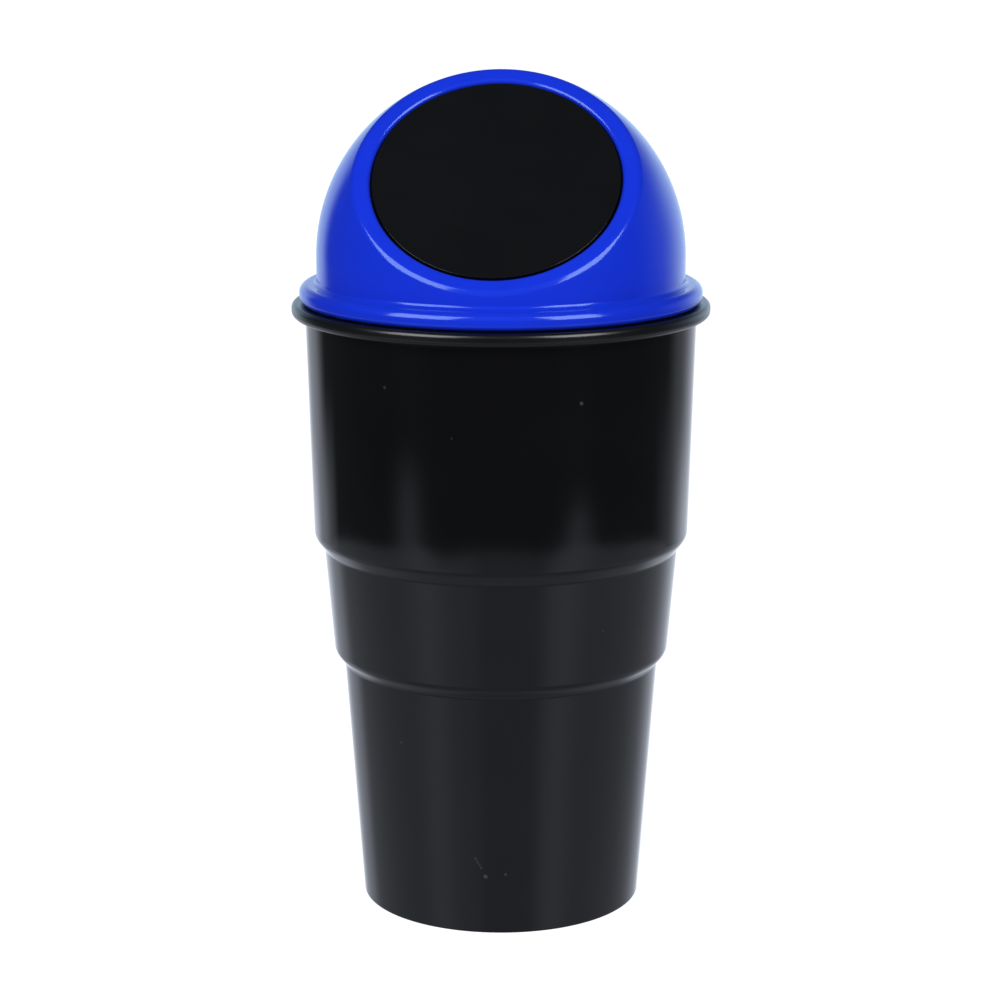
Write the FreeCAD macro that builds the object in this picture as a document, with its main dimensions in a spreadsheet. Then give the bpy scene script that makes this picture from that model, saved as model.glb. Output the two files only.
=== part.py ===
import FreeCAD, Part
import Sketcher
import math
import os

# Car trash can: a stepped, tapered cup that drops into a cup holder, closed by a
# push-on domed lid. The dome is cut by a plane leaning back at about 45 degrees, and a
# round flap fills that opening. The flap hangs on a steel pin behind the upper
# edge of the opening, and a torsion spring on the pin keeps it shut.
#
# Frame: origin at the middle of the base, +Z up along the can's axis, and the
# opening faces -Y. Millimetres.

doc = FreeCAD.newDocument("car_trash_can")
V = FreeCAD.Vector

# ---------------------------------------------------------------- dimensions
sheet = doc.addObject("Spreadsheet::Sheet", "dims")
CELLS = [
    # the cup, radius and height of each corner of its outer profile
    ("base_rad", 31.93),        # outer radius at the base
    ("low_top_rad", 36.06),    # top of the lower taper
    ("low_top_z", 56.1),
    ("mid_bot_rad", 38.3),    # bottom of the middle taper
    ("mid_bot_z", 58.7),
    ("mid_top_rad", 40.4),    # top of the middle taper
    ("mid_top_z", 82.8),
    ("upp_bot_rad", 42.65),     # bottom of the upper taper
    ("upp_bot_z", 85.8),
    ("upp_top_rad", 44.17),    # top of the upper taper, under the rim
    ("upp_top_z", 136.15),
    ("rim_rad", 47.2),         # rolled rim
    ("rim_top_z", 139.25),
    ("rim_groove_z", 137.65),   # roof of the groove under the rim
    ("rim_lip", 1.5),          # thickness of the rim's turned-down lip
    ("cup_wall", 1.5),
    ("floor_thick", 1.8),
    ("foot_width", 4.2),       # width of the ring that the can stands on
    ("foot_high", 1.2),        # how far the underside is raised inside that ring
    ("base_fillet", 0.45),
    ("step_fillet", 3.0),
    ("step_hollow", 1.5),
    ("rim_fillet", 1.1),
    ("rim_low_fillet", 1.35),
    ("mouth_fillet", 0.5),
    # the lid
    ("dome_rad", 41.5),       # outer radius of the dome and of its short straight part
    ("dome_z", 149.4),        # height of the dome's centre
    ("lid_wall", 1.6),
    ("flange_rad", 45.4),
    ("flange_bot_z", 139.45),
    ("flange_top_z", 143.45),
    ("flange_lip", 1.5),
    ("flange_roof_z", 141.9),  # roof of the channel under the flange
    ("flange_fillet", 1.9),
    ("flange_low_fillet", 1.3),
    ("flange_hollow", 1.0),    # hollow fillet between flange and dome
    ("skirt_top_rad", 42.42),  # plug skirt that goes into the cup's mouth
    ("skirt_bot_rad", 42.06),
    ("skirt_in_rad", 40.6),
    ("skirt_bot_z", 128.0),
    ("skirt_fillet", 0.45),
    # the opening in the dome
    ("opening_tilt", 45.8),    # elevation of the opening's outward normal
    ("collar_dist", 27.35),    # from the dome's centre to the collar's face
    ("collar_thick", 1.6),
    ("collar_plate_rad", 31.0),
    ("opening_rad", 27.55),
    ("collar_fillet", 2.2),
    ("opening_fillet", 1.0),
    # the flap, its pin and its spring; u runs up the slope of the opening's plane,
    # and distances along the normal are from the dome's centre
    ("flap_rad", 27.12),
    ("flap_recess", 0.25),
    ("flap_panel", 1.5),
    ("flap_back_rad", 29.2),   # stop flange behind the collar
    ("flap_back_gap", 0.3),
    ("flap_back_thick", 1.4),
    ("flap_rib", 1.3),         # wall between panel and stop flange
    ("flap_fillet", 0.15),
    ("pin_up", 29.6),          # pin centre, up the slope
    ("pin_dist", 21.15),        # pin centre, along the normal
    ("pin_rad", 1.0),
    ("pin_half", 10.6),
    ("pin_chamfer", 0.25),
    ("lug_in", 8.0),           # lid lugs from lug_in to lug_out either side
    ("lug_out", 10.0),
    ("lug_rad", 2.4),
    ("lug_bore", 1.03),
    ("knuckle_in", 4.2),       # flap knuckles
    ("knuckle_out", 7.7),
    ("knuckle_rad", 1.9),
    ("knuckle_bore", 1.05),
    ("wire_rad", 0.3),
    ("coil_rad", 2.25),
    ("coil_half", 3.3),        # half of the coil's length along the pin
    ("coil_turns", 7.1666667),
    ("coil_start", 30.0),      # where the coil starts, in degrees from the slope
    ("leg_fixed", 12.0),
    ("leg_moving", 11.0),
]
for row, (name, value) in enumerate(CELLS, start=1):
    sheet.set("A%d" % row, name)
    sheet.set("B%d" % row, repr(float(value)))
    sheet.setAlias("B%d" % row, name)
doc.recompute()


def dim(name):
    return float(sheet.get(name))


def plane(body, role):
    return [f for f in body.Origin.OriginFeatures if f.Role == role][0]


def cells(text):
    """An expression written with bare cell names, with each name made dims.name."""
    out, word = "", ""
    for ch in text + " ":
        if ch.isalpha() or ch == "_" or (word and ch.isdigit()):
            word += ch
            continue
        if word:
            out += ("dims." + word) if word in NAMES else word
            word = ""
        out += ch
    return out.strip()


NAMES = {name for name, _ in CELLS}


def value(text):
    """The number that such an expression gives now."""
    scope = dict(CELLS)
    total = 0.0
    for term in text.replace("-", "+-").split("+"):
        term = term.strip()
        if not term:
            continue
        sign = 1.0
        if term[0] == "-":
            sign, term = -1.0, term[1:].strip()
        product = 1.0
        for factor in term.split("*"):
            factor = factor.strip()
            product *= scope[factor] if factor in scope else float(factor)
        total += sign * product
    return total


def outline(body, name, support, points, arcs=()):
    """A closed sketch through points given as pairs of expressions. arcs lists
    (index of the side, radius, height of the centre on the vertical axis)."""
    sk = body.newObject("Sketcher::SketchObject", name)
    sk.AttachmentSupport = [(support, "")]
    sk.MapMode = "FlatFace"
    num = [(value(a), value(b)) for a, b in points]
    count = len(num)
    arc_of = {i: (r, c) for i, r, c in arcs}
    for i in range(count):
        p, q = num[i], num[(i + 1) % count]
        if i in arc_of:
            r, c = value(arc_of[i][0]), value(arc_of[i][1])
            a0 = math.atan2(p[1] - c, p[0])
            a1 = math.atan2(q[1] - c, q[0])
            circle = Part.Circle(V(0, c, 0), V(0, 0, 1), r)
            sk.addGeometry(Part.ArcOfCircle(circle, min(a0, a1), max(a0, a1)), False)
        else:
            sk.addGeometry(Part.LineSegment(V(p[0], p[1], 0), V(q[0], q[1], 0)), False)

    def end_of(i):
        """(vertex code at the start, at the end) of side i, along the outline."""
        if i in arc_of:
            c = value(arc_of[i][1])
            p, q = num[i], num[(i + 1) % count]
            forward = math.atan2(p[1] - c, p[0]) < math.atan2(q[1] - c, q[0])
            return (1, 2) if forward else (2, 1)
        return (1, 2)

    Con = Sketcher.Constraint
    for i in range(count):
        j = (i + 1) % count
        sk.addConstraint(Con("Coincident", i, end_of(i)[1], j, end_of(j)[0]))
    for i in range(count):
        start = end_of(i)[0]
        for axis, kind in ((0, "DistanceX"), (1, "DistanceY")):
            text = points[i][axis]
            if abs(num[i][axis]) < 1e-9:
                sk.addConstraint(Con("PointOnObject", i, start, -2 if axis == 0 else -1))
                continue
            at = sk.addConstraint(Con(kind, -1, 1, i, start, num[i][axis]))
            sk.setExpression("Constraints[%d]" % at, cells(text))
    for i, (r, c) in arc_of.items():
        sk.addConstraint(Con("PointOnObject", i, 3, -2))
    doc.recompute()
    return sk


def disc(body, name, support, radius, centre=None):
    """A sketch with one circle, at the sketch's origin or at a pair of expressions."""
    sk = body.newObject("Sketcher::SketchObject", name)
    sk.AttachmentSupport = [(support, "")]
    sk.MapMode = "FlatFace"
    Con = Sketcher.Constraint
    at = (0.0, 0.0) if centre is None else (value(centre[0]), value(centre[1]))
    sk.addGeometry(Part.Circle(V(at[0], at[1], 0), V(0, 0, 1), value(radius)), False)
    if centre is None:
        sk.addConstraint(Con("Coincident", 0, 3, -1, 1))
    else:
        for axis, kind in ((0, "DistanceX"), (1, "DistanceY")):
            k = sk.addConstraint(Con(kind, -1, 1, 0, 3, at[axis]))
            sk.setExpression("Constraints[%d]" % k, cells(centre[axis]))
    k = sk.addConstraint(Con("Radius", 0, value(radius)))
    sk.setExpression("Constraints[%d]" % k, cells(radius))
    doc.recompute()
    return sk


def lean(sk):
    """Puts a sketch in the plane of the opening: its x along X, its y up the slope,
    its normal outwards, its origin in the middle of the collar's face."""
    t = math.radians(dim("opening_tilt"))
    sk.AttachmentOffset = FreeCAD.Placement(
        V(0, -dim("collar_dist") * math.cos(t), dim("dome_z") + dim("collar_dist") * math.sin(t)),
        FreeCAD.Rotation(V(1, 0, 0), 90.0 - dim("opening_tilt")))
    sk.setExpression("AttachmentOffset.Base.y", "-dims.collar_dist * cos(dims.opening_tilt * 1 deg)")
    sk.setExpression("AttachmentOffset.Base.z", "dims.dome_z + dims.collar_dist * sin(dims.opening_tilt * 1 deg)")
    sk.setExpression("AttachmentOffset.Rotation.Angle", "90 deg - dims.opening_tilt * 1 deg")
    doc.recompute()


def profile_frame(sk, side="0"):
    """Turns a sketch on the YZ plane so that its x runs up the slope of the opening
    and its y along the opening's normal, from the dome's centre, at X = side."""
    sk.AttachmentOffset = FreeCAD.Placement(
        V(0, dim("dome_z"), value(side)), FreeCAD.Rotation(V(0, 0, 1), 90.0 - dim("opening_tilt")))
    sk.setExpression("AttachmentOffset.Base.y", "dims.dome_z")
    if abs(value(side)) > 1e-9:
        sk.setExpression("AttachmentOffset.Base.z", cells(side))
    sk.setExpression("AttachmentOffset.Rotation.Angle", "90 deg - dims.opening_tilt * 1 deg")
    doc.recompute()


def revolve(body, name, sk):
    rev = body.newObject("PartDesign::Revolution", name)
    rev.Profile = sk
    rev.ReferenceAxis = (sk, ["V_Axis"])
    rev.Angle = 360.0
    doc.recompute()
    return rev


def pad(body, name, sk, length, reverse=False):
    p = body.newObject("PartDesign::Pad", name)
    p.Profile = sk
    p.Length = value(length)
    p.setExpression("Length", cells(length))
    p.Reversed = reverse
    doc.recompute()
    return p


def pocket(body, name, sk, length, reverse=False, midplane=False):
    before = body.Shape.Volume
    p = body.newObject("PartDesign::Pocket", name)
    p.Profile = sk
    p.Length = value(length)
    p.setExpression("Length", cells(length))
    p.Reversed = reverse
    if midplane:
        p.SideType = "Symmetric" if hasattr(p, "SideType") else p.SideType
    doc.recompute()
    cut = before - body.Shape.Volume
    if cut <= 1e-3:
        raise RuntimeError("%s cuts nothing" % name)
    print("%s cuts %.2f mm3" % (name, cut))
    return p


def circle_of(edge):
    """The circle that an edge lies on, or None."""
    if edge.Degenerated:
        return None
    return edge.Curve if isinstance(edge.Curve, Part.Circle) else None


def rings(shape, wanted, tol=0.06):
    """Names of the round edges about Z with a (radius, height) in wanted."""
    found = []
    for i, e in enumerate(shape.Edges, start=1):
        c = circle_of(e)
        if c is None:
            continue
        if abs(abs(c.Axis.z) - 1) > 1e-6 or math.hypot(c.Center.x, c.Center.y) > 1e-4:
            continue
        for r, z in wanted:
            if abs(c.Radius - r) < tol and abs(c.Center.z - z) < tol:
                found.append("Edge%d" % i)
    if len(found) < len(wanted):
        raise RuntimeError("found %d of %d edges" % (len(found), len(wanted)))
    return found


def fillet(body, name, edges, radius):
    under = body.Tip
    f = body.newObject("PartDesign::Fillet", name)
    f.Base = (under, edges)
    f.Radius = dim(radius)
    f.setExpression("Radius", "dims." + radius)
    doc.recompute()
    if "Invalid" in f.State:
        raise RuntimeError("%s could not be rounded" % name)
    return f


# ---------------------------------------------------------------- the cup
# One moulding of even wall: three tapers parted by two small ledges, a rim
# rolled outwards and down, and a floor raised inside a foot ring.
cup = doc.addObject("PartDesign::Body", "bin_cup")
cup.Label = "bin_cup"
cup_pts = [
    ("base_rad", "0"),
    ("low_top_rad", "low_top_z"),
    ("mid_bot_rad", "mid_bot_z"),
    ("mid_top_rad", "mid_top_z"),
    ("upp_bot_rad", "upp_bot_z"),
    ("upp_top_rad", "rim_groove_z"),
    ("rim_rad-rim_lip", "rim_groove_z"),
    ("rim_rad-rim_lip", "upp_top_z"),
    ("rim_rad", "upp_top_z"),
    ("rim_rad", "rim_top_z"),
    ("upp_top_rad-cup_wall", "rim_top_z"),
    ("upp_bot_rad-cup_wall", "upp_bot_z+0.6"),
    ("mid_top_rad-cup_wall", "mid_top_z+0.6"),
    ("mid_bot_rad-cup_wall", "mid_bot_z+0.6"),
    ("low_top_rad-cup_wall", "low_top_z+0.6"),
    ("base_rad-cup_wall+0.15", "foot_high+floor_thick"),
    ("0", "foot_high+floor_thick"),
    ("0", "foot_high"),
    ("base_rad-foot_width-0.6", "foot_high"),
    ("base_rad-foot_width", "0"),
]
sk = outline(cup, "cup_profile", plane(cup, "XZ_Plane"), cup_pts)
revolve(cup, "cup_turn", sk)
v = value
fillet(cup, "cup_steps", rings(cup.Shape, [(v("mid_bot_rad"), v("mid_bot_z")), (v("upp_bot_rad"), v("upp_bot_z"))]), "step_fillet")
fillet(cup, "cup_step_hollows", rings(cup.Shape, [(v("low_top_rad"), v("low_top_z")), (v("mid_top_rad"), v("mid_top_z"))]), "step_hollow")
fillet(cup, "cup_rim", rings(cup.Shape, [(v("rim_rad"), v("rim_top_z"))]), "rim_fillet")
fillet(cup, "cup_rim_low", rings(cup.Shape, [(v("rim_rad"), v("upp_top_z"))]), "rim_low_fillet")
fillet(cup, "cup_mouth", rings(cup.Shape, [(v("upp_top_rad-cup_wall"), v("rim_top_z"))]), "mouth_fillet")
fillet(cup, "cup_base", rings(cup.Shape, [(v("base_rad"), 0.0)]), "base_fillet")

# ---------------------------------------------------------------- the lid
# One moulding: dome, flange, plug skirt, the collar round the opening and two
# lugs that carry the pin.
lid = doc.addObject("PartDesign::Body", "dome_lid")
lid.Label = "dome_lid"
lid_pts = [
    ("0", "dome_z+dome_rad"),
    ("dome_rad", "dome_z"),
    ("dome_rad", "flange_top_z"),
    ("flange_rad", "flange_top_z"),
    ("flange_rad", "flange_bot_z"),
    ("flange_rad-flange_lip", "flange_bot_z"),
    ("flange_rad-flange_lip", "flange_roof_z"),
    ("skirt_top_rad", "flange_roof_z"),
    ("skirt_bot_rad", "skirt_bot_z"),
    ("skirt_in_rad", "skirt_bot_z"),
    ("dome_rad-lid_wall", "dome_z"),
    ("0", "dome_z+dome_rad-lid_wall"),
]
sk = outline(lid, "lid_profile", plane(lid, "XZ_Plane"), lid_pts,
             arcs=[(0, "dome_rad", "dome_z"), (10, "dome_rad-lid_wall", "dome_z")])
revolve(lid, "lid_turn", sk)
fillet(lid, "lid_flange", rings(lid.Shape, [(v("flange_rad"), v("flange_top_z"))]), "flange_fillet")
fillet(lid, "lid_flange_low", rings(lid.Shape, [(v("flange_rad"), v("flange_bot_z"))]), "flange_low_fillet")
fillet(lid, "lid_flange_hollow", rings(lid.Shape, [(v("dome_rad"), v("flange_top_z"))]), "flange_hollow")
fillet(lid, "lid_skirt", rings(lid.Shape, [(v("skirt_bot_rad"), v("skirt_bot_z"))]), "skirt_fillet")

# the slanting cut takes the cap off the dome
sk = disc(lid, "cap_cut", plane(lid, "XY_Plane"), "dome_rad")
lean(sk)
pocket(lid, "lid_cap_off", sk, "dome_rad", reverse=True)
# the collar's flat plate closes the cut again
sk = disc(lid, "collar_disc", plane(lid, "XY_Plane"), "collar_plate_rad")
lean(sk)
pad(lid, "lid_collar", sk, "collar_thick", reverse=True)
# and the opening goes through it
sk = disc(lid, "opening_disc", plane(lid, "XY_Plane"), "opening_rad")
lean(sk)
pocket(lid, "lid_opening", sk, "collar_thick+1.0")


def collar_edges(shape, inner):
    """Edges of the collar's face: the opening's own, or the outer one."""
    t = math.radians(dim("opening_tilt"))
    n = V(0, -math.cos(t), math.sin(t))
    o = V(0, 0, dim("dome_z")) + n * dim("collar_dist")
    out = []
    for i, e in enumerate(shape.Edges, start=1):
        if e.Degenerated:
            continue
        pts = e.discretize(7)
        if any(abs((p - o).dot(n)) > 1e-3 for p in pts):
            continue
        r = max((p - o).Length for p in pts)
        small = r < dim("opening_rad") + 0.05
        if small == inner and r > dim("opening_rad") - 0.05:
            out.append("Edge%d" % i)
    if not out:
        raise RuntimeError("the collar's edge was not found")
    return out


fillet(lid, "lid_collar_round", collar_edges(lid.Shape, False), "collar_fillet")
fillet(lid, "lid_opening_round", collar_edges(lid.Shape, True), "opening_fillet")

# lugs under the upper edge of the opening, rooted in the dome's wall
for tag, near in (("right", "lug_in"), ("left", "-lug_out")):
    sk = outline(lid, "lug_web_" + tag, plane(lid, "YZ_Plane"), [
        ("pin_up-1.2", "pin_dist-2.0"), ("pin_up+5.4", "pin_dist-2.8"), ("pin_up+3.7", "pin_dist+0.3"),
        ("pin_up+1.8", "pin_dist+2.9"), ("pin_up+0.9", "pin_dist+3.8"), ("pin_up-0.1", "pin_dist+2.5")])
    profile_frame(sk, near)
    pad(lid, "lid_lug_web_" + tag, sk, "lug_out-lug_in")
    sk = disc(lid, "lug_boss_" + tag, plane(lid, "YZ_Plane"), "lug_rad", ("pin_up", "pin_dist"))
    profile_frame(sk, near)
    pad(lid, "lid_lug_" + tag, sk, "lug_out-lug_in")
    sk = disc(lid, "lug_hole_" + tag, plane(lid, "YZ_Plane"), "lug_bore", ("pin_up", "pin_dist"))
    profile_frame(sk, near)
    pocket(lid, "lid_lug_bore_" + tag, sk, "lug_out-lug_in", reverse=True)

# ---------------------------------------------------------------- the flap
# One moulding: a flat round panel that sits in the opening, a stop flange that
# meets the collar from behind, and two knuckles on the pin.
flap = doc.addObject("PartDesign::Body", "flap_door")
flap.Label = "flap_door"
back = "collar_dist-collar_thick-flap_back_gap"
flap_pts = [
    ("0", "collar_dist-flap_recess"),
    ("flap_rad", "collar_dist-flap_recess"),
    ("flap_rad", back),
    ("flap_back_rad", back),
    ("flap_back_rad", back + "-flap_back_thick"),
    ("flap_rad-flap_rib", back + "-flap_back_thick"),
    ("flap_rad-flap_rib", "collar_dist-flap_recess-flap_panel"),
    ("0", "collar_dist-flap_recess-flap_panel"),
]
sk = outline(flap, "flap_profile", plane(flap, "YZ_Plane"), flap_pts)
profile_frame(sk)
revolve(flap, "flap_turn", sk)
# the front edge is eased
t = math.radians(dim("opening_tilt"))
n = V(0, -math.cos(t), math.sin(t))
front = []
for i, e in enumerate(flap.Shape.Edges, start=1):
    c = circle_of(e)
    if c is not None and abs(c.Radius - dim("flap_rad")) < 1e-3:
        if abs((c.Center - V(0, 0, dim("dome_z"))).dot(n) - value("collar_dist-flap_recess")) < 1e-3:
            front.append("Edge%d" % i)
fillet(flap, "flap_front_round", front, "flap_fillet")
for tag, near in (("right", "knuckle_in"), ("left", "-knuckle_out")):
    sk = outline(flap, "knuckle_web_" + tag, plane(flap, "YZ_Plane"), [
        ("pin_up-3.5", "pin_dist+3.2"), ("pin_up-1.3", "pin_dist+3.2"),
        ("pin_up+0.3", "pin_dist+1.8"), ("pin_up-1.4", "pin_dist-1.2")])
    profile_frame(sk, near)
    pad(flap, "flap_web_" + tag, sk, "knuckle_out-knuckle_in")
    sk = disc(flap, "knuckle_disc_" + tag, plane(flap, "YZ_Plane"), "knuckle_rad", ("pin_up", "pin_dist"))
    profile_frame(sk, near)
    pad(flap, "flap_knuckle_" + tag, sk, "knuckle_out-knuckle_in")
    sk = disc(flap, "knuckle_hole_" + tag, plane(flap, "YZ_Plane"), "knuckle_bore", ("pin_up", "pin_dist"))
    profile_frame(sk, near)
    pocket(flap, "flap_bore_" + tag, sk, "knuckle_out-knuckle_in", reverse=True)

# ---------------------------------------------------------------- the pin
pin = doc.addObject("PartDesign::Body", "hinge_pin")
pin.Label = "hinge_pin"
sk = disc(pin, "pin_disc", plane(pin, "YZ_Plane"), "pin_rad", ("pin_up", "pin_dist"))
profile_frame(sk, "-pin_half")
pad(pin, "pin_rod", sk, "2*pin_half")
ends = ["Edge%d" % i for i, e in enumerate(pin.Shape.Edges, start=1) if circle_of(e) is not None]
rod = pin.Tip
ch = pin.newObject("PartDesign::Chamfer", "pin_ends")
ch.Base = (rod, ends)
ch.Size = dim("pin_chamfer")
ch.setExpression("Size", "dims.pin_chamfer")
doc.recompute()

# ---------------------------------------------------------------- the spring
# A torsion spring of round wire. Its coil runs along the pin between the
# knuckles; one leg lies back under the dome's roof and the other lies down the
# back of the flap.
axis_at = V(0, -(dim("pin_dist") * math.cos(t)) + dim("pin_up") * math.sin(t),
            dim("dome_z") + dim("pin_dist") * math.sin(t) + dim("pin_up") * math.cos(t))
up = V(0, math.sin(t), math.cos(t))
b0 = math.radians(dim("coil_start"))
turns = dim("coil_turns")
rise = 2 * dim("coil_half") / turns
# the helix's own axis is laid along +X, with its start at coil_start from the slope
ex = up * math.cos(b0) + n * math.sin(b0)
ey = n * math.cos(b0) - up * math.sin(b0)
ez = ex.cross(ey)
turn_sense = 1.0 if ez.x > 0 else -1.0
m = FreeCAD.Matrix(ex.x, ey.x, ez.x, 0, ex.y, ey.y, ez.y, 0, ex.z, ey.z, ez.z, 0, 0, 0, 0, 1)
where = FreeCAD.Placement(m)
where.Base = axis_at - ez * dim("coil_half")
helix = doc.addObject("Part::Helix", "coil_line")
helix.setExpression("Pitch", "2 * dims.coil_half / dims.coil_turns")
helix.setExpression("Height", "2 * dims.coil_half")
helix.setExpression("Radius", "dims.coil_rad")
helix.SegmentLength = 1.0
helix.LocalCoord = 0
helix.Placement = where
doc.recompute()
slope = math.atan2(rise, 2 * math.pi * dim("coil_rad"))


def coil_point(a, z):
    return where.multVec(V(dim("coil_rad") * math.cos(a), dim("coil_rad") * math.sin(a), z))


def coil_dir(a):
    d = V(-math.sin(a) * math.cos(slope), math.cos(a) * math.cos(slope), math.sin(slope))
    return where.Rotation.multVec(d)


total = 2 * math.pi * turns
start, start_dir = coil_point(0.0, 0.0), coil_dir(0.0)
stop, stop_dir = coil_point(total, 2 * dim("coil_half")), coil_dir(total)
ring = doc.addObject("Part::Circle", "wire_section")
ring.setExpression("Radius", "dims.wire_rad")
ring.Placement = FreeCAD.Placement(start, FreeCAD.Rotation(V(0, 0, 1), start_dir))
coil = doc.addObject("Part::Sweep", "coil_wire")
coil.Sections = [ring]
coil.Spine = (helix, ["Edge%d" % (i + 1) for i in range(len(helix.Shape.Edges))])
coil.Solid = True
coil.Frenet = True
doc.recompute()
legs = []
for name, at, along, long in (("leg_fixed_wire", start, start_dir * -1.0, "leg_fixed"),
                              ("leg_moving_wire", stop, stop_dir, "leg_moving")):
    leg = doc.addObject("Part::Cylinder", name)
    leg.setExpression("Radius", "dims.wire_rad")
    leg.setExpression("Height", "dims." + long)
    leg.Placement = FreeCAD.Placement(at, FreeCAD.Rotation(V(0, 0, 1), along))
    legs.append(leg)
spring = doc.addObject("Part::MultiFuse", "return_spring")
spring.Label = "return_spring"
spring.Shapes = [coil] + legs
doc.recompute()
length = math.hypot(2 * math.pi * dim("coil_rad") * turns, 2 * dim("coil_half")) + dim("leg_fixed") + dim("leg_moving")
print("spring volume %.3f, wire section times length %.3f" % (spring.Shape.Volume, math.pi * dim("wire_rad") ** 2 * length))
print("pin centre", [round(x, 4) for x in axis_at], "fixed leg ends", [round(x, 3) for x in (start - start_dir * dim("leg_fixed"))],
      "moving leg ends", [round(x, 3) for x in (stop + stop_dir * dim("leg_moving"))])

# ---------------------------------------------------------------- write the pieces
pieces = [cup, lid, flap, pin, spring]
for obj in doc.Objects:
    if "Invalid" in obj.State or "Error" in obj.State:
        raise RuntimeError("%s failed: %s" % (obj.Name, obj.State))
os.makedirs("parts", exist_ok=True)
for piece in pieces:
    shape = piece.Shape
    if shape.isNull() or not shape.isValid() or len(shape.Solids) != 1:
        raise RuntimeError("%s is not one valid solid (%d)" % (piece.Label, len(shape.Solids)))
    shape.exportStep("parts/%s.step" % piece.Label)
    b = shape.BoundBox
    print("%-14s volume %10.2f  x %.2f %.2f  y %.2f %.2f  z %.2f %.2f" % (
        piece.Label, shape.Volume, b.XMin, b.XMax, b.YMin, b.YMax, b.ZMin, b.ZMax))
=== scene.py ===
import bpy
import bmesh
import math
import numpy as np
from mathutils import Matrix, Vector


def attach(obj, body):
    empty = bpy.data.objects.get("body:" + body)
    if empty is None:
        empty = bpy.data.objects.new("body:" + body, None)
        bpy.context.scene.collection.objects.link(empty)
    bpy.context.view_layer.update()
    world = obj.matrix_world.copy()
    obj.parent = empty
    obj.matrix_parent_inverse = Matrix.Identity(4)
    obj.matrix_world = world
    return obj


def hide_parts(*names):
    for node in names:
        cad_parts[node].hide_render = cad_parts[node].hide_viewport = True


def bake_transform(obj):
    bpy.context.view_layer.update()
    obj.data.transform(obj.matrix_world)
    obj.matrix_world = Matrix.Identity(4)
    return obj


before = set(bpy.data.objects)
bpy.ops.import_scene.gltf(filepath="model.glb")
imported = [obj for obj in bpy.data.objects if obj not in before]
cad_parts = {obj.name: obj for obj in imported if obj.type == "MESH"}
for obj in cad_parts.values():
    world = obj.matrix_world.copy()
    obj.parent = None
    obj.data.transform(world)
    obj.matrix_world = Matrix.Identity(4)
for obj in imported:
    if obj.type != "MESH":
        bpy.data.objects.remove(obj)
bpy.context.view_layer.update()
scene = bpy.context.scene

# ------------------------------------------------------------------ shapes
# Lengths below are in millimetres, as in the model's own dimensions, and are
# scaled to metres when a mesh is made. Origin at the middle of the base, +Z up,
# the slanting opening faces -Y.
MM = 0.001
DOME_R, DOME_Z, LID_WALL = 41.5, 149.4, 1.6
TILT = math.radians(45.8)
COLLAR_D, COLLAR_T = 27.35, 1.6
OPEN_R, OPEN_F, COLLAR_F = 27.55, 1.0, 2.2
FLANGE_R, FLANGE_TOP, FLANGE_ROOF, FLANGE_F, FLANGE_LOW_F, HOLLOW = 45.4, 143.45, 141.9, 1.9, 1.3, 1.0
PIN_U, PIN_N = 29.6, 21.15
NRM = np.array([0.0, -math.cos(TILT), math.sin(TILT)])   # outwards from the opening
UPS = np.array([0.0, math.sin(TILT), math.cos(TILT)])    # up the opening's slope
XAX = np.array([1.0, 0.0, 0.0])
CEN = np.array([0.0, 0.0, DOME_Z])
PIN = CEN + PIN_U * UPS + PIN_N * NRM


def rounded(corners, closed=False, support=0.22):
    """Points along a profile. corners: (a, b, fillet radius, segments). Straight
    runs get a support point near each end, so that they shade flat."""
    n = len(corners)
    runs = []
    for i in range(n):
        a, b, rf, seg = corners[i]
        p = np.array([a, b], float)
        if rf <= 0 or (not closed and i in (0, n - 1)):
            runs.append([p])
            continue
        q0 = np.array(corners[i - 1][:2], float)
        q1 = np.array(corners[(i + 1) % n][:2], float)
        u1 = (q0 - p) / np.linalg.norm(q0 - p)
        u2 = (q1 - p) / np.linalg.norm(q1 - p)
        ang = math.acos(max(-1, min(1, float(u1 @ u2))))
        t = rf / math.tan(ang / 2)
        mid = (u1 + u2) / np.linalg.norm(u1 + u2)
        c = p + mid * rf / math.sin(ang / 2)
        s, e = p + u1 * t, p + u2 * t
        a0 = math.atan2(*(s - c)[::-1])
        a1 = math.atan2(*(e - c)[::-1])
        d = (a1 - a0 + math.pi) % (2 * math.pi) - math.pi
        runs.append([c + rf * np.array([math.cos(a0 + d * k / seg), math.sin(a0 + d * k / seg)])
                     for k in range(seg + 1)])
    out = []
    for i in range(n):
        out.extend(runs[i])
        if i == n - 1 and not closed:
            break
        s, e = runs[i][-1], runs[(i + 1) % n][0]
        length = np.linalg.norm(e - s)
        if length > 2.6 * support:
            w = support / length
            out.append(s + (e - s) * w)
            if length > 12:
                out.append((s + e) / 2)
            out.append(e + (s - e) * w)
    return out


def grid_faces(rows, cols, wrap_rows=False):
    faces = []
    for i in range(rows if wrap_rows else rows - 1):
        k = (i + 1) % rows
        for j in range(cols):
            m = (j + 1) % cols
            faces.append((i * cols + j, i * cols + m, k * cols + m, k * cols + j))
    return faces


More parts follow.
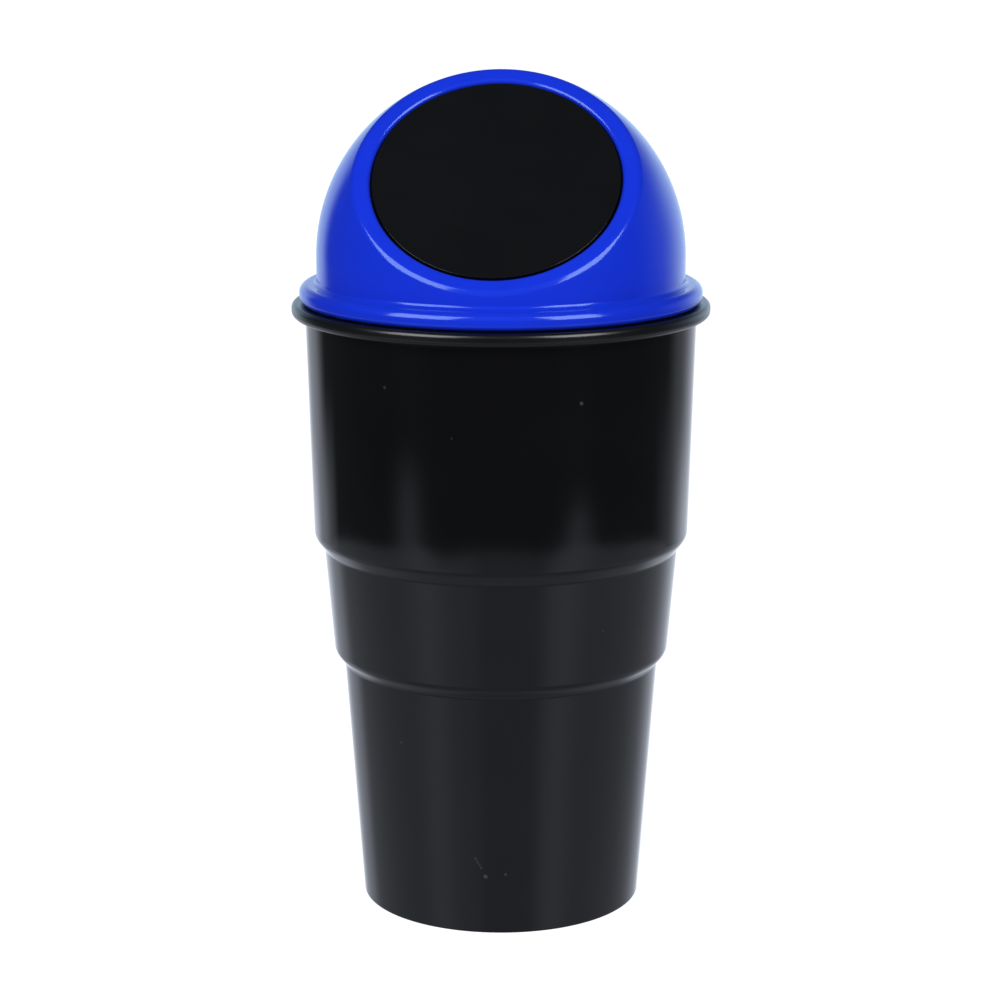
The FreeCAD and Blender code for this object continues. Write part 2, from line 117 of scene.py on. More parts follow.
def make(name, parts, body, sharp=42.0):
    """One object from a list of (vertices in mm, faces), each a closed skin."""
    verts, faces, at = [], [], 0
    for v, f in parts:
        verts.extend([tuple(float(c) * MM for c in p) for p in v])
        faces.extend([tuple(i + at for i in q) for q in f])
        at += len(v)
    me = bpy.data.meshes.new(name)
    me.from_pydata(verts, [], faces)
    bm = bmesh.new()
    bm.from_mesh(me)
    bmesh.ops.remove_doubles(bm, verts=bm.verts, dist=2e-7)
    bmesh.ops.dissolve_degenerate(bm, edges=bm.edges, dist=1e-7)
    bmesh.ops.recalc_face_normals(bm, faces=bm.faces)
    for f in bm.faces:
        f.smooth = True
    lim = math.radians(sharp)
    for e in bm.edges:
        if len(e.link_faces) == 2 and e.calc_face_angle(0.0) > lim:
            e.smooth = False
    bm.to_mesh(me)
    bm.free()
    o = bpy.data.objects.new(name, me)
    scene.collection.objects.link(o)
    if body:
        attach(o, body)
    return o


def lathe(profile, seg, origin, ax, ay, az, closed):
    """Turns (radius, height) points about az. Radius 0 makes a single point."""
    verts, index = [], []
    ang = np.arange(seg) * 2 * math.pi / seg
    for r, z in profile:
        if r < 1e-9:
            index.append([len(verts)] * seg)
            verts.append(origin + az * z)
        else:
            index.append(list(range(len(verts), len(verts) + seg)))
            for a in ang:
                verts.append(origin + az * z + r * (math.cos(a) * ax + math.sin(a) * ay))
    faces = []
    count = len(profile)
    for i in range(count if closed else count - 1):
        a, b = index[i], index[(i + 1) % count]
        for j in range(seg):
            m = (j + 1) % seg
            q = []
            for v in (a[j], a[m], b[m], b[j]):
                if v not in q:
                    q.append(v)
            if len(q) > 2:
                faces.append(tuple(q))
    return verts, faces


def arc2(cx, cy, r, a0, a1, n):
    return [(cx + r * math.cos(a0 + (a1 - a0) * k / n), cy + r * math.sin(a0 + (a1 - a0) * k / n)) for k in range(n + 1)]


def slab(outline, x0, x1, hole=None, ease=0.18):
    """A plate between X = x0 and x1 whose outline is given in the opening's own
    (up the slope, along the normal) plane, with eased rims and a round hole
    (centre, radius)."""
    area = sum(a[0] * b[1] - b[0] * a[1] for a, b in zip(outline, outline[1:] + outline[:1]))
    if area < 0:
        outline = outline[::-1]
    pts = np.array(outline, float)
    n = len(pts)
    nxt, prv = np.roll(pts, -1, 0), np.roll(pts, 1, 0)
    d1, d0 = nxt - pts, pts - prv
    d1 /= np.linalg.norm(d1, axis=1)[:, None]
    d0 /= np.linalg.norm(d0, axis=1)[:, None]
    nrm = np.stack([d0[:, 1] + d1[:, 1], -(d0[:, 0] + d1[:, 0])], 1)
    nrm /= np.linalg.norm(nrm, axis=1)[:, None]

    def at(p, x):
        return CEN + p[0] * UPS + p[1] * NRM + x * XAX

    sgn = 1.0 if x1 > x0 else -1.0
    levels = [(x0, ease), (x0 + sgn * ease * 0.3, ease * 0.3), (x0 + sgn * ease, 0.0),
              (x1 - sgn * ease, 0.0), (x1 - sgn * ease * 0.3, ease * 0.3), (x1, ease)]
    bm = bmesh.new()
    loops = []
    for x, inset in levels:
        loops.append([bm.verts.new(at(p - q * inset, x)) for p, q in zip(pts, nrm)])
    for a, b in zip(loops, loops[1:]):
        for j in range(n):
            m = (j + 1) % n
            bm.faces.new((a[j], a[m], b[m], b[j]))
    rims = [loops[0], loops[-1]]
    if hole:
        (hu, hn), hr = hole
        seg = 40
        ring = [np.array([hu + hr * math.cos(2 * math.pi * k / seg), hn + hr * math.sin(2 * math.pi * k / seg)]) for k in range(seg)]
        a = [bm.verts.new(at(p, x0)) for p in ring]
        b = [bm.verts.new(at(p, x1)) for p in ring]
        for j in range(seg):
            m = (j + 1) % seg
            bm.faces.new((a[j], b[j], b[m], a[m]))
        for rim, bore in ((loops[0], a), (loops[-1], b)):
            edges = []
            for loop in (rim, bore):
                for j in range(len(loop)):
                    e = bm.edges.get((loop[j], loop[(j + 1) % len(loop)]))
                    edges.append(e)
            bmesh.ops.triangle_fill(bm, edges=edges, use_beauty=True)
    else:
        for rim in rims:
            bm.faces.new(rim)
    bm.verts.index_update()
    verts = [np.array(v.co) for v in bm.verts]
    faces = [tuple(v.index for v in f.verts) for f in bm.faces]
    bm.free()
    return verts, faces


def around_pin(points, start, stop, r, n=18):
    """points in the slope plane, with an arc about the pin between two of them."""
    return points + [(PIN_U + r * math.cos(start + (stop - start) * k / n), PIN_N + r * math.sin(start + (stop - start) * k / n)) for k in range(n + 1)]


# ---- the cup
cup_corners = [
    (0.0, 1.2, 0, 0), (27.13, 1.2, 0.35, 4), (27.73, 0.0, 0.25, 4),
    (31.93, 0.0, 0.45, 8), (36.06, 56.1, 1.5, 12), (38.3, 58.7, 3.0, 18), (40.4, 82.8, 1.5, 12),
    (42.65, 85.8, 3.0, 18), (44.17, 137.65, 0.35, 4), (45.7, 137.65, 0.3, 4), (45.7, 136.15, 0.12, 3),
    (47.2, 136.15, 1.35, 12), (47.2, 139.25, 1.1, 16), (42.67, 139.25, 0.5, 6),
    (41.15, 86.4, 1.5, 8), (38.9, 83.4, 1.5, 8), (36.8, 59.3, 1.5, 8), (34.56, 56.7, 1.5, 8),
    (30.58, 3.0, 1.0, 6), (0.0, 3.0, 0, 0)]
Z0 = np.zeros(3)
YAX, ZAX = np.array([0.0, 1.0, 0.0]), np.array([0.0, 0.0, 1.0])
cup = make("cup_shell", [lathe(rounded(cup_corners), 360, Z0, XAX, YAX, ZAX, False)], "bin")
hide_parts("bin_cup")

# ---- the lid: one skin closed both ways round. It runs from the opening's wall over
# the collar and down the dome to the flange and plug skirt, and back up inside.
SEG = 360
PHI = np.arange(SEG) * 2 * math.pi / SEG


def on_dome(d, r, flare=0.0):
    """Where a direction from the dome's centre meets the dome, or its straight part below."""
    p = np.empty_like(d)
    up = d[:, 2] >= 0
    p[up] = d[up] * r
    flat = np.hypot(d[:, 0], d[:, 1])
    low = ~up
    k = r / flat[low]
    z = d[low][:, 2] * k
    p[low, 0] = d[low][:, 0] * (k + flare * -z / flat[low])
    p[low, 1] = d[low][:, 1] * (k + flare * -z / flat[low])
    p[low, 2] = z
    return p


def slerp(a, b, t):
    dot = np.clip(np.sum(a * b, 1), -1, 1)
    w = np.arccos(dot)
    s = np.maximum(np.sin(w), 1e-9)
    return (np.sin((1 - t) * w) / s)[:, None] * a + (np.sin(t * w) / s)[:, None] * b


def unit(a):
    return a / np.linalg.norm(a, axis=1)[:, None]


def collar_ring(r, n):
    return CEN + n * NRM + r * (np.cos(PHI)[:, None] * XAX + np.sin(PHI)[:, None] * UPS)


def lathe_ring(r, z):
    return np.stack([r * np.cos(PHI), r * np.sin(PHI), np.full(SEG, z)], 1)


rows = []
under = COLLAR_D - COLLAR_T
# the opening's wall and its rounded front edge
for r, n in [(OPEN_R, under), (OPEN_R, under + 0.12), (OPEN_R, COLLAR_D - OPEN_F - 0.08)]:
    rows.append(collar_ring(r, n))
for r, n in arc2(OPEN_R + OPEN_F, COLLAR_D - OPEN_F, OPEN_F, math.pi, math.pi / 2, 18):
    rows.append(collar_ring(r, n))
ball_r = math.sqrt((DOME_R - COLLAR_F) ** 2 - (COLLAR_D - COLLAR_F) ** 2)
for w in (0.06, 0.5, 0.94):
    rows.append(collar_ring(OPEN_R + OPEN_F + (ball_r - OPEN_R - OPEN_F) * w, COLLAR_D))
# the collar's rounded outer edge, brought onto the dome
a_end = math.atan2(COLLAR_D - COLLAR_F, ball_r)
fil = arc2(ball_r, COLLAR_D - COLLAR_F, COLLAR_F, math.pi / 2, a_end, 28)
tan_end = collar_ring(*fil[-1])
shift = on_dome(unit(tan_end - CEN), DOME_R) - (tan_end - CEN)
for k, (r, n) in enumerate(fil):
    rows.append(collar_ring(r, n) + shift * (k / 28.0) ** 2)
d0 = unit(tan_end - CEN)
hollow_top = FLANGE_TOP + HOLLOW
d1 = unit(lathe_ring(DOME_R, hollow_top - DOME_Z))
steps = 58
for k in range(1, steps):
    t = k / steps
    rows.append(CEN + on_dome(slerp(d0, d1, t), DOME_R))
# hollow fillet, flange, channel and plug skirt
low = rounded([
    (DOME_R, hollow_top + 0.6, 0, 0), (DOME_R, FLANGE_TOP, HOLLOW, 10), (FLANGE_R, FLANGE_TOP, FLANGE_F, 26),
    (FLANGE_R, 139.45, FLANGE_LOW_F, 10), (FLANGE_R - 1.5, 139.45, 0.12, 3), (FLANGE_R - 1.5, FLANGE_ROOF, 0.3, 4),
    (42.42, FLANGE_ROOF, 0.3, 4), (42.06, 128.0, 0.45, 6), (40.6, 128.0, 0.3, 4), (40.03, 145.4, 0, 0)])
for r, z in low:
    if z > hollow_top + 1e-6 and r < DOME_R + 1e-6 and r > 40.8:
        continue
    rows.append(lathe_ring(r, z))
# up the inside of the dome to the collar's back
IN_R = DOME_R - LID_WALL
in_ring = math.sqrt(IN_R ** 2 - under ** 2)
e0 = unit(lathe_ring(40.03, 145.4 - DOME_Z))
e1 = unit(collar_ring(in_ring, under) - CEN)
for k in range(1, 41):
    rows.append(CEN + on_dome(slerp(e0, e1, k / 40.0), IN_R, 0.0327))
for w in (0.08, 0.92):
    rows.append(collar_ring(in_ring + (OPEN_R - in_ring) * w, under))
lid_skin = (np.concatenate(rows), grid_faces(len(rows), SEG, wrap_rows=True))
# lugs that carry the pin
lug_line = [(35.0, 18.35), (34.2, 19.95), (33.3, 21.45), (32.4, 22.85), (31.4, 24.05), (30.5, 24.95), (29.9, 24.05)]
lug_line = around_pin(lug_line, math.radians(88), math.radians(282), 2.4, 26)
lugs = [slab(lug_line, s * 8.0, s * 10.0, ((PIN_U, PIN_N), 1.03)) for s in (1, -1)]
lid = make("lid_shell", [lid_skin] + lugs, "lid")
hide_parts("dome_lid")

# ---- the flap
back = COLLAR_D - COLLAR_T - 0.3
front = COLLAR_D - 0.25
flap_corners = [
    (0.0, front, 0, 0), (27.12, front, 0.05, 3), (27.12, back, 0.15, 3), (29.2, back, 0.25, 4), (29.2, back - 1.4, 0.3, 4),
    (25.82, back - 1.4, 0.3, 4), (25.82, front - 1.5, 0.4, 4), (0.0, front - 1.5, 0, 0)]
flap_skin = lathe(rounded(flap_corners), 300, CEN, XAX, UPS, NRM, False)
kn_line = around_pin([(26.1, 24.15), (28.1, 24.15)], math.radians(72), math.radians(-140), 1.9, 26)
knuckles = [slab(kn_line, s * 4.2, s * 7.7, ((PIN_U, PIN_N), 1.05)) for s in (1, -1)]
flap = make("flap_panel", [flap_skin] + knuckles, "flap")
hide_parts("flap_door")

# ---- the spring: round wire wound on the pin
COIL_R, COIL_H, TURNS, WIRE = 2.25, 3.3, 7.1666667, 0.3
b0 = math.radians(30.0)
total = 2 * math.pi * TURNS
rise = 2 * COIL_H / total


def coil_at(a):
    return PIN + COIL_R * (math.cos(b0 + a) * UPS + math.sin(b0 + a) * NRM) + (-COIL_H + rise * a) * XAX


def coil_dir(a):
    d = COIL_R * (-math.sin(b0 + a) * UPS + math.cos(b0 + a) * NRM) + rise * XAX
    return d / np.linalg.norm(d)


line = []
for w in np.linspace(12.0, 0.3, 24):
    line.append(coil_at(0.0) - coil_dir(0.0) * w)
count = int(TURNS * 48)
for k in range(count + 1):
    line.append(coil_at(total * k / count))
for w in np.linspace(0.3, 11.0, 24):
    line.append(coil_at(total) + coil_dir(total) * w)
line = np.array(line)
tan = np.gradient(line, axis=0)
tan /= np.linalg.norm(tan, axis=1)[:, None]
side = np.cross(tan, XAX)
side /= np.linalg.norm(side, axis=1)[:, None]
other = np.cross(tan, side)
ws = 14
verts = []
prof = [(WIRE * 0.72, 0, -0.10), (WIRE, 0, 0.0)]
tube_rows = []
for r, k, off in prof:
    tube_rows.append((line[k] + tan[k] * off, r, k))
for k in range(1, len(line) - 1):
    tube_rows.append((line[k], WIRE, k))
last = len(line) - 1
tube_rows.append((line[last], WIRE, last))
tube_rows.append((line[last] + tan[last] * 0.10, WIRE * 0.72, last))
for c, r, k in tube_rows:
    for j in range(ws):
        a = 2 * math.pi * j / ws
        verts.append(c + r * (math.cos(a) * side[k] + math.sin(a) * other[k]))
tube_faces = grid_faces(len(tube_rows), ws)
tube_faces.append(tuple(range(ws))[::-1])
tube_faces.append(tuple(range((len(tube_rows) - 1) * ws, len(tube_rows) * ws)))
spring = make("spring_wire", [(verts, tube_faces)], None, sharp=60)
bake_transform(spring)
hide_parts("return_spring")


# ------------------------------------------------------------------ materials
def new_mat(name):
    m = bpy.data.materials.new(name)
    m.use_nodes = True
    nt = m.node_tree
    nt.nodes.clear()
    out = nt.nodes.new("ShaderNodeOutputMaterial")
    b = nt.nodes.new("ShaderNodeBsdfPrincipled")
    nt.links.new(b.outputs[0], out.inputs[0])
    return m, nt, b


def noise(nt, co, scale, detail=2.0, rough=0.5):
    n = nt.nodes.new("ShaderNodeTexNoise")
    n.inputs["Scale"].default_value = scale
    n.inputs["Detail"].default_value = detail
    n.inputs["Roughness"].default_value = rough
    nt.links.new(co, n.inputs["Vector"])
    return n


def span(nt, value, a, b, lo, hi):
    m = nt.nodes.new("ShaderNodeMapRange")
    m.inputs["From Min"].default_value = a
    m.inputs["From Max"].default_value = b
    m.inputs["To Min"].default_value = lo
    m.inputs["To Max"].default_value = hi
    nt.links.new(value, m.inputs["Value"])
    return m.outputs[0]


def math_node(nt, op, a, b):
    m = nt.nodes.new("ShaderNodeMath")
    m.operation = op
    for i, v in enumerate((a, b)):
        if isinstance(v, (int, float)):
            m.inputs[i].default_value = v
        else:
            nt.links.new(v, m.inputs[i])
    return m.outputs[0]


def mix_color(nt, fac, a, b):
    m = nt.nodes.new("ShaderNodeMix")
    m.data_type = "RGBA"
    if isinstance(fac, (int, float)):
        m.inputs[0].default_value = fac
    else:
        nt.links.new(fac, m.inputs[0])
    for i, v in ((6, a), (7, b)):
        if isinstance(v, tuple):
            m.inputs[i].default_value = v
        else:
            nt.links.new(v, m.inputs[i])
    return m.outputs[2]


def moulded(name, dark, light, rough_lo, rough_hi, peel, dust, dust_size, spec, tint=(1.0, 1.0, 1.0), dull_above=None, sheen=0.0, marks=()):
    """Moulded plastic: cloudy colour, uneven gloss, the faint waviness of a moulded
    skin, hair scratches and a few specks of dust."""
    m, nt, b = new_mat(name)
    tc = nt.nodes.new("ShaderNodeTexCoord")
    co = tc.outputs["Object"]
    cloud = noise(nt, co, 55.0, 3.0, 0.55)
    col = mix_color(nt, span(nt, cloud.outputs[0], 0.3, 0.7, 0.0, 1.0), dark + (1,), light + (1,))
    # dust: small bright specks, only in a few cells
    vo = nt.nodes.new("ShaderNodeTexVoronoi")
    vo.feature = "F1"
    vo.inputs["Scale"].default_value = dust_size
    bend = noise(nt, co, 2200.0, 2.0, 0.6)
    moved = nt.nodes.new("ShaderNodeVectorMath")
    moved.operation = "MULTIPLY_ADD"
    nt.links.new(bend.outputs["Color"], moved.inputs[0])
    moved.inputs[1].default_value = (0.0006, 0.0006, 0.0006)
    nt.links.new(co, moved.inputs[2])
    nt.links.new(moved.outputs[0], vo.inputs["Vector"])
    sep = nt.nodes.new("ShaderNodeSeparateColor")
    nt.links.new(vo.outputs["Color"], sep.inputs[0])
    near = span(nt, vo.outputs["Distance"], 0.008, 0.022, 1.0, 0.0)
    pick = math_node(nt, "GREATER_THAN", sep.outputs[0], 0.93)
    speck = math_node(nt, "MULTIPLY", near, pick)
    col = mix_color(nt, math_node(nt, "MULTIPLY", speck, dust), col, (0.30, 0.30, 0.31, 1))
    # pale nicks and specks at their own places
    for place, size, much in marks:
        off = nt.nodes.new("ShaderNodeVectorMath")
        off.operation = "DISTANCE"
        nt.links.new(moved.outputs[0], off.inputs[0])
        off.inputs[1].default_value = [c + 0.0003 for c in place]
        col = mix_color(nt, span(nt, off.outputs["Value"], size * 0.45, size, much, 0.0), col, (0.30, 0.30, 0.31, 1))
    nt.links.new(col, b.inputs["Base Color"])
    # uneven gloss, and hair scratches that read as duller lines
    gloss = noise(nt, co, 140.0, 4.0, 0.6)
    scr_map = nt.nodes.new("ShaderNodeMapping")
    scr_map.inputs["Scale"].default_value = (240.0, 240.0, 14.0)
    scr_map.inputs["Rotation"].default_value = (0.10, 0.14, 0.0)
    nt.links.new(co, scr_map.inputs["Vector"])
    scr = noise(nt, scr_map.outputs[0], 1.0, 5.0, 0.7)
    lines = span(nt, scr.outputs[0], 0.66, 0.74, 0.0, 0.05)
    rough = math_node(nt, "ADD", span(nt, gloss.outputs[0], 0.3, 0.7, rough_lo, rough_hi), lines)
    rough = math_node(nt, "ADD", rough, math_node(nt, "MULTIPLY", speck, 0.3))
    if dull_above:
        # a handled rim is duller than the wall under it
        place = nt.nodes.new("ShaderNodeSeparateXYZ")
        nt.links.new(co, place.inputs[0])
        rough = math_node(nt, "ADD", rough, span(nt, place.outputs[2], dull_above[0], dull_above[1], 0.0, dull_above[2]))
    nt.links.new(rough, b.inputs["Roughness"])
    # the skin's waviness, and a fine grain on top
    wave = noise(nt, co, 210.0, 2.0, 0.5)
    grain = noise(nt, co, 2600.0, 2.0, 0.5)
    height = math_node(nt, "ADD", math_node(nt, "MULTIPLY", wave.outputs[0], 1.0), math_node(nt, "MULTIPLY", grain.outputs[0], 0.10))
    height = math_node(nt, "ADD", height, math_node(nt, "MULTIPLY", speck, 2.0))
    bump = nt.nodes.new("ShaderNodeBump")
    bump.inputs["Strength"].default_value = 1.0
    bump.inputs["Distance"].default_value = peel
    nt.links.new(height, bump.inputs["Height"])
    nt.links.new(bump.outputs[0], b.inputs["Normal"])
    b.inputs["IOR"].default_value = 1.49
    b.inputs["Specular IOR Level"].default_value = spec
    b.inputs["Specular Tint"].default_value = tint + (1.0,)
    if sheen:
        b.inputs["Sheen Weight"].default_value = sheen
        b.inputs["Sheen Roughness"].default_value = 0.22
        b.inputs["Sheen Tint"].default_value = (0.03, 0.34, 1.0, 1.0)
    return m


def metal(name, base, rough_lo, rough_hi, scale):
    """Drawn wire or rod: bright, with fine lines along it and small dull patches."""
    m, nt, b = new_mat(name)
    tc = nt.nodes.new("ShaderNodeTexCoord")
    mp = nt.nodes.new("ShaderNodeMapping")
    mp.inputs["Scale"].default_value = scale
    nt.links.new(tc.outputs["Object"], mp.inputs["Vector"])
    lines = noise(nt, mp.outputs[0], 1.0, 4.0, 0.6)
    patch = noise(nt, tc.outputs["Object"], 600.0, 3.0, 0.6)
    col = mix_color(nt, span(nt, patch.outputs[0], 0.35, 0.7, 0.0, 1.0), base + (1,), tuple(c * 0.72 for c in base) + (1,))
    nt.links.new(col, b.inputs["Base Color"])
    nt.links.new(span(nt, lines.outputs[0], 0.3, 0.7, rough_lo, rough_hi), b.inputs["Roughness"])
    bump = nt.nodes.new("ShaderNodeBump")
    bump.inputs["Strength"].default_value = 0.4
    bump.inputs["Distance"].default_value = 0.00001
    nt.links.new(lines.outputs[0], bump.inputs["Height"])
    nt.links.new(bump.outputs[0], b.inputs["Normal"])
    b.inputs["Metallic"].default_value = 1.0
    return m


CUP_MARKS = [
    ((0.01945, -0.03918, 0.12319), 0.00055, 0.13), ((-0.02294, -0.03737, 0.12587), 0.00040, 0.09),
    ((-0.00815, -0.04274, 0.11596), 0.00035, 0.04), ((-0.02069, -0.02836, 0.04344), 0.00035, 0.07),
    ((-0.00160, -0.03287, 0.01381), 0.00060, 0.12), ((0.00289, -0.03283, 0.01436), 0.00042, 0.08)]
CUP_MARKS += [((-0.00383 + 0.00030 * k, -0.03302, 0.01807 - 0.00054 * k), 0.00032, 0.07) for k in range(5)]
m_cup = moulded("black_cup", (0.0019, 0.0019, 0.0020), (0.0027, 0.0027, 0.0028), 0.028, 0.042, 0.0000006, 0.6, 120.0, 0.5, dull_above=(0.1350, 0.1362, 0.22), marks=CUP_MARKS)
m_lid = moulded("blue_lid", (0.0049, 0.0228, 0.472), (0.0058, 0.0258, 0.512), 0.125, 0.155, 0.0000006, 0.10, 130.0, 0.5, (0.60, 0.86, 1.0), sheen=0.22)
m_flap = moulded("black_flap", (0.0024, 0.0024, 0.0027), (0.0032, 0.0032, 0.0035), 0.14, 0.18, 0.000002, 0.5, 120.0, 0.5)
m_pin = metal("pin_steel", (0.56, 0.56, 0.57), 0.16, 0.34, (30.0, 3000.0, 3000.0))
m_spring = metal("spring_steel", (0.50, 0.50, 0.52), 0.14, 0.30, (900.0, 900.0, 900.0))


def paint(o, m):
    o.data.materials.clear()
    o.data.materials.append(m)


for o, m in ((cup, m_cup), (lid, m_lid), (flap, m_flap), (spring, m_spring), (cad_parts["hinge_pin"], m_pin)):
    paint(o, m)

# ------------------------------------------------------------------ floor, light, camera
fl = bpy.data.meshes.new("floor")
W = 6.0
fl.from_pydata([(-W, -W, 0), (W, -W, 0), (W, W, 0), (-W, W, 0)], [], [(0, 1, 2, 3)])
floor = bpy.data.objects.new("floor", fl)
scene.collection.objects.link(floor)
m, nt, b = new_mat("floor")
tc = nt.nodes.new("ShaderNodeTexCoord")
n1 = noise(nt, tc.outputs["Object"], 40.0, 3.0, 0.5)
nt.links.new(mix_color(nt, n1.outputs[0], (0.33, 0.33, 0.33, 1), (0.36, 0.36, 0.36, 1)), b.inputs["Base Color"])
b.inputs["Roughness"].default_value = 0.9
b.inputs["Specular IOR Level"].default_value = 0.0
b.inputs["Emission Color"].default_value = (1, 1, 1, 1)
dist = nt.nodes.new("ShaderNodeVectorMath")
dist.operation = "LENGTH"
nt.links.new(tc.outputs["Object"], dist.inputs[0])
nt.links.new(span(nt, dist.outputs["Value"], 0.35, 1.1, 0.84, 1.0), b.inputs["Emission Strength"])
fl.materials.append(m)
floor.visible_glossy = False
floor.visible_diffuse = False

# strengths of the studio's parts
BOX, REAR, TABLE, TABLE_SIDE, TABLE_BAND, ROOM, GLOW = 13.6, 1.1, 0.262, 0.10, 0.172, 0.075, 0.20
EDGE, NEAR, BOUNCE = -17.08, 0.24, 0.50

# white studio: white to the camera, a bright backdrop behind the object, a pale
# table below it and a dim room in front
world = bpy.data.worlds.new("studio")
scene.world = world
world.use_nodes = True
nt = world.node_tree
nt.nodes.clear()
out = nt.nodes.new("ShaderNodeOutputWorld")
bg = nt.nodes.new("ShaderNodeBackground")
geo = nt.nodes.new("ShaderNodeTexCoord")
sep = nt.nodes.new("ShaderNodeSeparateXYZ")
nt.links.new(geo.outputs["Generated"], sep.inputs[0])
away = math_node(nt, "ABSOLUTE", sep.outputs[0], 0.0)
front_y = math_node(nt, "MULTIPLY", sep.outputs[1], -1.0)
azim = math_node(nt, "ARCTAN2", away, front_y)           # 0 straight in front, pi behind
side = math_node(nt, "ARCTAN2", sep.outputs[0], front_y)  # the same, with a sign: + to the right
elev = math_node(nt, "ARCSINE", sep.outputs[2], 0.0)


def smooth(nt, value, a, b, lo, hi):
    m = nt.nodes.new("ShaderNodeMapRange")
    m.interpolation_type = "SMOOTHSTEP"
    m.inputs["From Min"].default_value = math.radians(a)
    m.inputs["From Max"].default_value = math.radians(b)
    m.inputs["To Min"].default_value = lo
    m.inputs["To Max"].default_value = hi
    nt.links.new(value, m.inputs["Value"])
    return m.outputs[0]


def hill(nt, value, at, wide, high):
    """high at the angle `at`, falling off over `wide` degrees."""
    d = math_node(nt, "DIVIDE", math_node(nt, "SUBTRACT", value, math.radians(at)), math.radians(wide))
    return math_node(nt, "MULTIPLY", math_node(nt, "EXPONENT", math_node(nt, "MULTIPLY", math_node(nt, "MULTIPLY", d, d), -1.0), 0.0), high)


# the table's far edge, and a fainter streak under each of the two lamps past it
on_left = math_node(nt, "LESS_THAN", sep.outputs[0], 0.0)
on_right = math_node(nt, "SUBTRACT", 1.0, on_left)
past = math_node(nt, "SUBTRACT", elev, math_node(nt, "ADD", math_node(nt, "ADD", math.radians(EDGE), math_node(nt, "ADD", math_node(nt, "MULTIPLY", on_left, smooth(nt, azim, 25.0, 150.0, 0.0, math.radians(2.4))), math_node(nt, "MULTIPLY", on_right, smooth(nt, azim, 25.0, 150.0, 0.0, math.radians(2.15))))), hill(nt, azim, 52.0, 15.0, math.radians(0.26))))
off = math_node(nt, "ABSOLUTE", math_node(nt, "SUBTRACT", side, math.radians(10.0)), 0.0)
pale = math_node(nt, "ADD", smooth(nt, off, 15.0, 30.0, TABLE, TABLE + TABLE_SIDE), math_node(nt, "MULTIPLY", hill(nt, azim, 47.0, 14.0, TABLE_BAND), smooth(nt, elev, -44.0, -32.0, 0.0, 1.0)))
pale = math_node(nt, "ADD", math_node(nt, "MULTIPLY", smooth(nt, elev, -48.0, -33.0, 0.0, 1.0), math_node(nt, "SUBTRACT", pale, NEAR)), NEAR)
horn_l = math_node(nt, "MULTIPLY", math_node(nt, "MULTIPLY", on_left, hill(nt, azim, 55.0, 9.5, 0.60)), smooth(nt, past, 0.6, 2.2, 1.0, 0.0))
tail_r = math_node(nt, "ADD", smooth(nt, past, 0.3, 0.8, 0.40, 0.0), smooth(nt, past, 0.6, 1.3, 0.20, 0.0))
horn_r = math_node(nt, "MULTIPLY", math_node(nt, "MULTIPLY", on_right, hill(nt, azim, 52.0, 9.5, 1.0)), tail_r)
cover = math_node(nt, "MAXIMUM", smooth(nt, past, -0.12, 0.12, 1.0, 0.0), math_node(nt, "ADD", horn_l, horn_r))
dim = math_node(nt, "ADD", math_node(nt, "MULTIPLY", cover, pale), ROOM)
glow = math_node(nt, "MULTIPLY", hill(nt, azim, 0.0, 30.0, GLOW), math_node(nt, "MULTIPLY", smooth(nt, elev, 0.0, 12.0, 0.0, 1.0), smooth(nt, elev, 55.0, 70.0, 1.0, 0.0)))
dim = math_node(nt, "ADD", math_node(nt, "ADD", dim, glow), hill(nt, azim, 50.0, 14.0, 0.016))
# the backdrop's two edges; it is wider above the table than behind it
high = smooth(nt, elev, -9.7, -8.4, 0.0, 1.0)
low = math_node(nt, "SUBTRACT", 1.0, high)


def by_height(below, above):
    return math_node(nt, "ADD", math_node(nt, "MULTIPLY", low, below), math_node(nt, "MULTIPLY", high, above))


mid = smooth(nt, elev, -14.2, -11.6, 0.0, 1.0)
under = smooth(nt, elev, -18.0, -15.2, 1.0, 0.0)


def steps(*parts):
    total = 0.0
    for a, b, amount in parts:
        total = math_node(nt, "ADD", total, smooth(nt, azim, a, b, 0.0, amount))
    return total


def between(part, first, second):
    return math_node(nt, "ADD", math_node(nt, "MULTIPLY", math_node(nt, "SUBTRACT", 1.0, part), first), math_node(nt, "MULTIPLY", part, second))


rear_l = math_node(nt, "MULTIPLY", on_left, by_height(
    between(mid, between(under, steps((113.0, 122.0, 0.25), (120.0, 134.0, 0.35), (138.0, 152.0, 0.40)), steps((119.0, 134.0, 0.55), (146.0, 170.0, 0.45))),
            steps((123.0, 140.0, 0.62), (150.0, 172.0, 0.38))),
    smooth(nt, azim, 130.0, 145.0, 0.0, 1.0)))
rear_r = math_node(nt, "MULTIPLY", on_right, by_height(
    between(mid, between(under, steps((106.0, 130.0, 0.20), (125.0, 152.0, 0.75)), steps((106.0, 130.0, 0.15), (125.0, 152.0, 0.54), (150.0, 172.0, 0.30))),
            steps((117.0, 134.0, 0.24), (134.0, 160.0, 0.50), (158.0, 172.0, 0.20))),
    steps((92.0, 120.0, 0.28), (115.0, 150.0, 0.85))))
rear = math_node(nt, "MULTIPLY", math_node(nt, "ADD", rear_l, rear_r),
                 math_node(nt, "MULTIPLY", smooth(nt, elev, 6.0, 28.0, 1.0, 0.0), math_node(nt, "MULTIPLY", smooth(nt, elev, -44.0, -32.0, 0.0, 1.0), smooth(nt, elev, -24.0, -17.0, 0.68, 1.0))))
light = math_node(nt, "ADD", math_node(nt, "MULTIPLY", rear, REAR),
                  math_node(nt, "MULTIPLY", math_node(nt, "SUBTRACT", 1.0, rear), dim))
lp = nt.nodes.new("ShaderNodeLightPath")
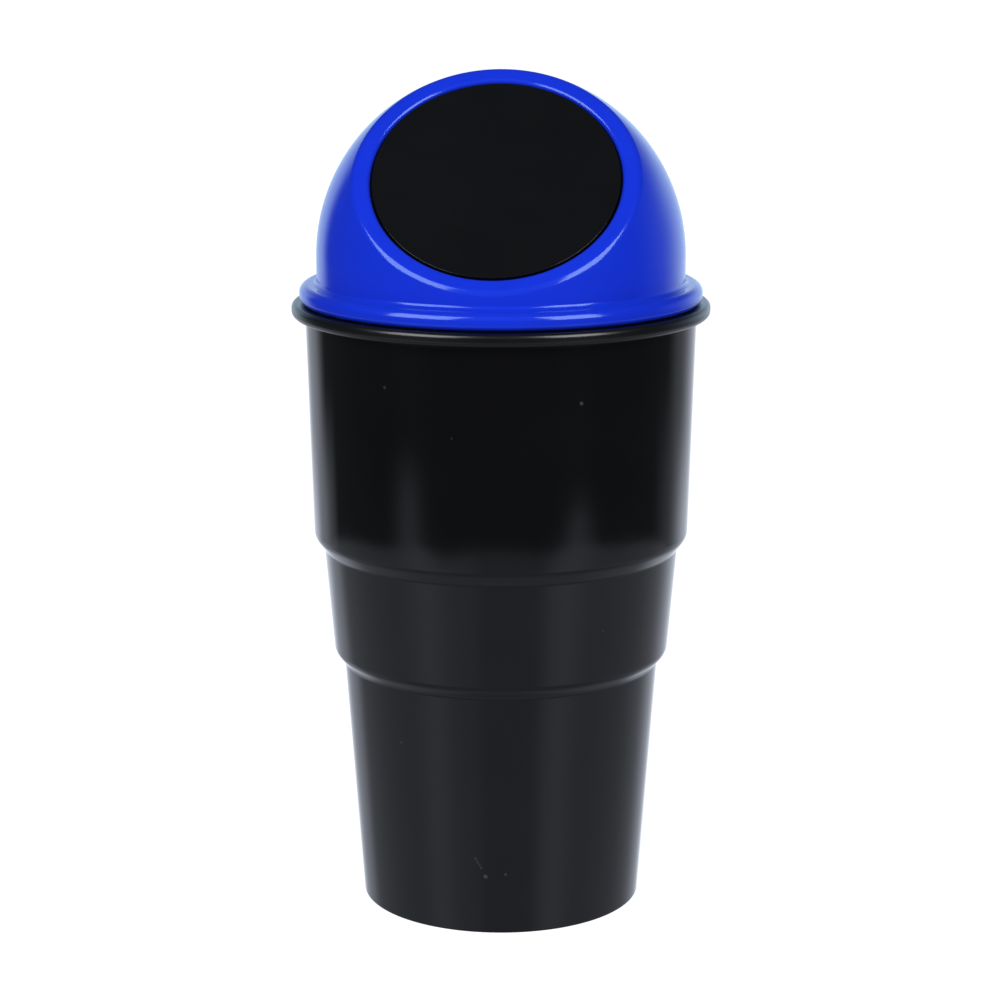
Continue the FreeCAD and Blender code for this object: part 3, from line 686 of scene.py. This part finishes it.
light = math_node(nt, "ADD", light, math_node(nt, "MULTIPLY", lp.outputs["Is Diffuse Ray"], smooth(nt, elev, -25.0, -5.0, BOUNCE, 0.0)))
val = nt.nodes.new("ShaderNodeMix")
val.data_type = "FLOAT"
nt.links.new(lp.outputs["Is Camera Ray"], val.inputs[0])
nt.links.new(light, val.inputs[2])
val.inputs[3].default_value = 1.0
nt.links.new(val.outputs[0], bg.inputs["Strength"])
shade = mix_color(nt, high, (0.90, 0.96, 1.10, 1), (0.70, 0.91, 1.14, 1))
nt.links.new(mix_color(nt, lp.outputs["Is Camera Ray"], shade, (1, 1, 1, 1)), bg.inputs["Color"])
nt.links.new(bg.outputs[0], out.inputs[0])


def soft_box(name, at, look, w, h, power, glossy=True, diffuse=True, spread=180.0):
    l = bpy.data.lights.new(name, "AREA")
    l.shape = "RECTANGLE"
    l.size, l.size_y = w, h
    l.energy = power
    l.spread = math.radians(spread)
    o = bpy.data.objects.new(name, l)
    o.location = at
    o.rotation_euler = (Vector(look) - Vector(at)).to_track_quat("-Z", "Y").to_euler()
    o.visible_glossy = glossy
    o.visible_diffuse = diffuse
    o.visible_camera = False
    scene.collection.objects.link(o)
    return o


MID = (0, 0, 0.10)


def at_angle(azimuth, elevation, dist):
    a, e = math.radians(azimuth), math.radians(elevation)
    return (dist * math.sin(a) * math.cos(e), -dist * math.cos(a) * math.cos(e), MID[2] + dist * math.sin(e))


soft_box("left", at_angle(-43.5, 30, 1.2), MID, 0.80, 0.90, BOX * 1.06)
soft_box("right", at_angle(46.5, 30, 1.2), MID, 0.62, 0.90, BOX * 0.92)

cam_d = bpy.data.cameras.new("camera")
cam_d.sensor_fit = "HORIZONTAL"
cam_d.sensor_width = 36.0
cam_d.lens = 106.3
cam = bpy.data.objects.new("camera", cam_d)
az = math.radians(3.25)
cam.location = (0.66 * math.sin(az), -0.66 * math.cos(az), 0.242)
cam.rotation_euler = (Vector((-0.00022, 0, 0.09297)) - cam.location).to_track_quat("-Z", "Y").to_euler()
scene.collection.objects.link(cam)
scene.camera = cam
scene.view_settings.view_transform = "Standard"
scene.view_settings.look = "None"
